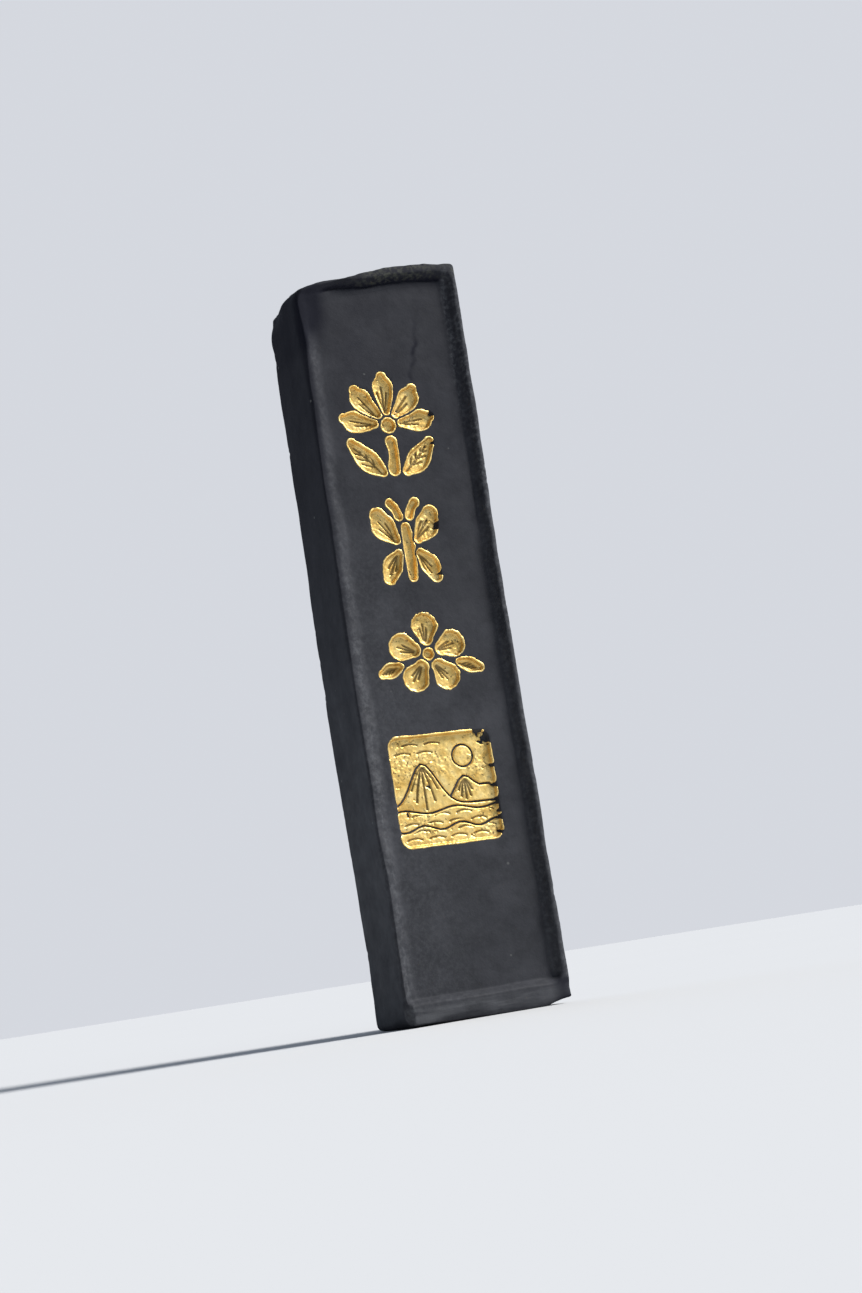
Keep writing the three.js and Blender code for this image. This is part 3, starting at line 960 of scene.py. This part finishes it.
def gold_material():
    """Gold pigment: warm and bright where thick, browner on its pit walls as painted shade, darkened
    along engraved lines as painted shade, and finely grainy.
    """
    material, tree, shader = new_material("gold_pigment")
    patch = add_noise(tree, 700, 5)
    body = add_ramp(tree, patch, [(0.32, GOLD_THIN), (0.5, GOLD_BODY), (0.68, GOLD_THICK)])
    bare = add_math(tree, "MULTIPLY", add_attribute(tree, "rough"), 0.07)
    bare = add_math(tree, "ADD", bare, add_noise(tree, 2800, 3))
    fleck = add_ramp(tree, bare, [(0.63, grey(0.0)), (0.71, grey(0.8))])
    body = add_mix(tree, fleck, body, GOLD_BARE_AND_GROOVE_SHADE)
    # Painted shade: browner on the sloped walls of each pit.
    painted_wall_shade = add_math(tree, "MULTIPLY", add_attribute(tree, "painted_wall_shade"), 0.3)
    body = add_mix(tree, painted_wall_shade, body, GOLD_SHADED)
    # Painted shade: the engraved lines darkened towards the bare colour.
    cut = add_math(tree, "MULTIPLY", add_attribute(tree, "engraved"), 0.8)
    body = add_mix(tree, cut, body, GOLD_BARE_AND_GROOVE_SHADE)
    tree.links.new(body, shader.inputs["Base Color"])
    shader.inputs["Metallic"].default_value = 0.75
    rough = add_ramp(tree, add_noise(tree, 1500, 3), [(0.3, grey(0.34)), (0.7, grey(0.55))])
    tree.links.new(rough, shader.inputs["Roughness"])
    add_bump(tree, shader, add_noise(tree, 2600, 4), 0.5, 0.00008)
    return material


def floor_material():
    """A plain pale table top."""
    material, tree, shader = new_material("pale_floor")
    patch = add_noise(tree, 8, 3)
    body = add_ramp(tree, patch, [(0.3, FLOOR_DULL), (0.7, FLOOR_BRIGHT)])
    tree.links.new(body, shader.inputs["Base Color"])
    shader.inputs["Roughness"].default_value = 0.6
    shader.inputs["Specular IOR Level"].default_value = 0.0
    return material


# ---------------------------------------------------------------------------
# Camera, floor and light
# ---------------------------------------------------------------------------

CAMERA_PLACE = (-0.0981, -0.2230, 0.0064)
CAMERA_AZIMUTH, CAMERA_RISE, CAMERA_ROLL = 24.17, 9.42, -8.92
CAMERA_LENS = 53.8
SENSOR_WIDTH = 36
FLOOR_HALF = 12.0


def add_camera():
    """Close to the table, looking up a little and leaning to one side."""
    azimuth, rise, roll = (math.radians(a) for a in (CAMERA_AZIMUTH, CAMERA_RISE, CAMERA_ROLL))
    look = Vector((
        math.sin(azimuth) * math.cos(rise),
        math.cos(azimuth) * math.cos(rise),
        math.sin(rise),
    ))
    level = Vector((math.cos(azimuth), -math.sin(azimuth), 0))
    right = math.cos(roll) * level + math.sin(roll) * level.cross(look)
    up = right.cross(look)
    turn = Matrix((right, up, -look)).transposed().to_4x4()
    camera = bpy.data.objects.new("camera", bpy.data.cameras.new("camera"))
    camera.data.sensor_width = SENSOR_WIDTH
    camera.data.lens = CAMERA_LENS
    camera.data.clip_start = 0.01
    camera.matrix_world = Matrix.Translation(CAMERA_PLACE) @ turn
    bpy.context.scene.collection.objects.link(camera)
    bpy.context.scene.camera = camera


def add_floor():
    """A table top that runs on past the edges of the picture."""
    mesh = bpy.data.meshes.new("floor")
    corners = [(sx * FLOOR_HALF, sy * FLOOR_HALF, 0) for sx, sy in ((-1, -1), (1, -1), (1, 1), (-1, 1))]
    mesh.from_pydata(corners, [], [(0, 1, 2, 3)])
    mesh.materials.append(floor_material())
    floor = bpy.data.objects.new("floor", mesh)
    bpy.context.scene.collection.objects.link(floor)


def add_sun(name, azimuth, rise, softness, strength, color):
    """A distant soft light. At azimuth 0 it shines on the front, and at 90 from the right."""
    light = bpy.data.lights.new(name, "SUN")
    light.angle = math.radians(softness)
    light.energy = strength
    light.color = color
    azimuth, rise = math.radians(azimuth), math.radians(rise)
    toward = Vector((
        math.sin(azimuth) * math.cos(rise),
        -math.cos(azimuth) * math.cos(rise),
        math.sin(rise),
    ))
    lamp = bpy.data.objects.new(name, light)
    lamp.location = toward
    lamp.rotation_euler = (-toward).to_track_quat("-Z", "Y").to_euler()
    bpy.context.scene.collection.objects.link(lamp)


def add_map(tree, value, low, high, to_low, to_high):
    """A value stretched from one range onto another, and held within it."""
    node = tree.nodes.new("ShaderNodeMapRange")
    tree.links.new(value, node.inputs["Value"])
    stops = {"From Min": low, "From Max": high, "To Min": to_low, "To Max": to_high}
    for name, stop in stops.items():
        node.inputs[name].default_value = stop
    return node.outputs["Result"]


def add_world(seen, seen_strength, light, left, right, behind):
    """An even pale surround to the camera. As a light it is dimmer, and dimmest on the left."""
    world = bpy.data.worlds.new("studio")
    bpy.context.scene.world = world
    world.use_nodes = True
    tree = world.node_tree
    background = tree.nodes["Background"]
    place = tree.nodes.new("ShaderNodeTexCoord")
    split = tree.nodes.new("ShaderNodeSeparateXYZ")
    tree.links.new(place.outputs["Generated"], split.inputs[0])
    across = add_map(tree, split.outputs["X"], -1, 1, left, right)
    depth = add_map(tree, split.outputs["Y"], 0.3, 1, 0, behind)
    direct = tree.nodes.new("ShaderNodeLightPath").outputs["Is Camera Ray"]
    lit = add_math(tree, "ADD", across, depth)
    level = tree.nodes.new("ShaderNodeMix")
    tree.links.new(direct, level.inputs["Factor"])
    tree.links.new(lit, level.inputs["A"])
    level.inputs["B"].default_value = seen_strength
    tree.links.new(level.outputs["Result"], background.inputs["Strength"])
    tree.links.new(add_mix(tree, direct, light, seen), background.inputs["Color"])


add_camera()
add_floor()
add_sun("key", azimuth=63, rise=42, softness=16, strength=5.3, color=(1.0, 0.985, 0.96))
add_world(
    seen=(0.9, 0.93, 1.0, 1),
    seen_strength=0.74,
    light=(0.72, 0.83, 1.0, 1),
    left=0.05,
    right=0.52,
    behind=0.75,
)
bpy.context.scene.view_settings.view_transform = "Standard"

ink = ink_material()
gold = gold_material()
cake = cake_mesh()
paint_cake(cake)
finish_piece("cake_of_ink", cake, ink, "ink_body")
for node_name in gold_nodes:
    sheet = gold_sheet(node_name)
    finish_piece("gilding_" + node_name, sheet, gold, node_name)
